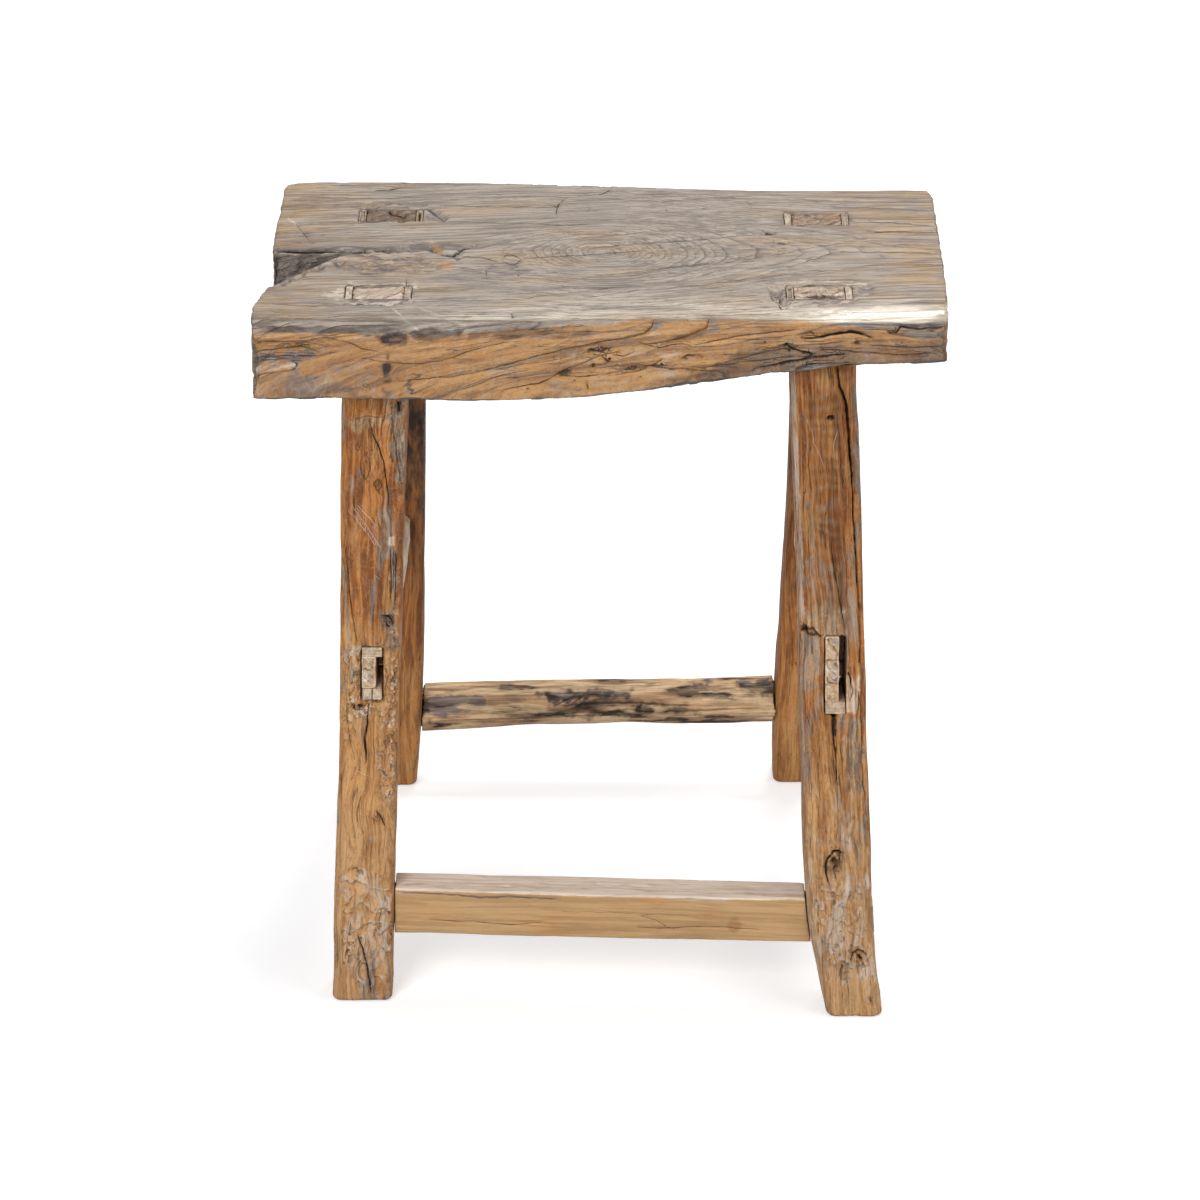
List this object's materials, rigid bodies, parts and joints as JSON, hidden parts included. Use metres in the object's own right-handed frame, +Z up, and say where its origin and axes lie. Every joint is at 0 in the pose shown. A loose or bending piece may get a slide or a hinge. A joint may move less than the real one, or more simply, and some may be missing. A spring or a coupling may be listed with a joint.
{
  "type": "wooden stool",
  "caption": "Rustic stool with a thick live-edge plank seat, splayed legs tenoned and wedged through it, and low and side stretchers.",
  "frame": {"origin": "on the floor, under the middle of the stool's bounding box", "axes": "+Z up, +X along the seat to the right of someone facing its front, +Y from front to back"},
  "size_m": [0.4839, 0.4188, 0.508],
  "materials": {
    "weathered_plank": "weathered, dry, with a worn shine on the front right arris",
    "leg_timber": "hewn and worn, orange brown, satin",
    "planed_timber": "planed, pale tan, matt",
    "barked_branch": "smooth branch with dark mottled streaks",
    "wedge_timber": "split, pale, end grain showing"
  },
  "bodies": {
    "root": {"seat_plank": "weathered_plank", "leg_front_left": "leg_timber", "leg_front_right": "leg_timber", "leg_back_left": "leg_timber", "leg_back_right": "leg_timber", "stretcher_front": "planed_timber", "stretcher_back": "barked_branch", "stretcher_left": "planed_timber", "stretcher_right": "planed_timber", "wedge_seat_front_left_left": "wedge_timber", "wedge_seat_front_left_right": "wedge_timber", "wedge_seat_front_right_left": "wedge_timber", "wedge_seat_front_right_right": "wedge_timber", "wedge_seat_back_left_left": "wedge_timber", "wedge_seat_back_left_right": "wedge_timber", "wedge_seat_back_right_left": "wedge_timber", "wedge_seat_back_right_right": "wedge_timber", "wedge_side_front_left_upper": "wedge_timber", "wedge_side_front_left_lower_outer": "wedge_timber", "wedge_side_front_left_lower_inner": "wedge_timber", "wedge_side_front_right_lower": "wedge_timber", "wedge_side_back_left_lower": "wedge_timber", "wedge_side_back_right_lower": "wedge_timber"}
  },
  "joints": []
}
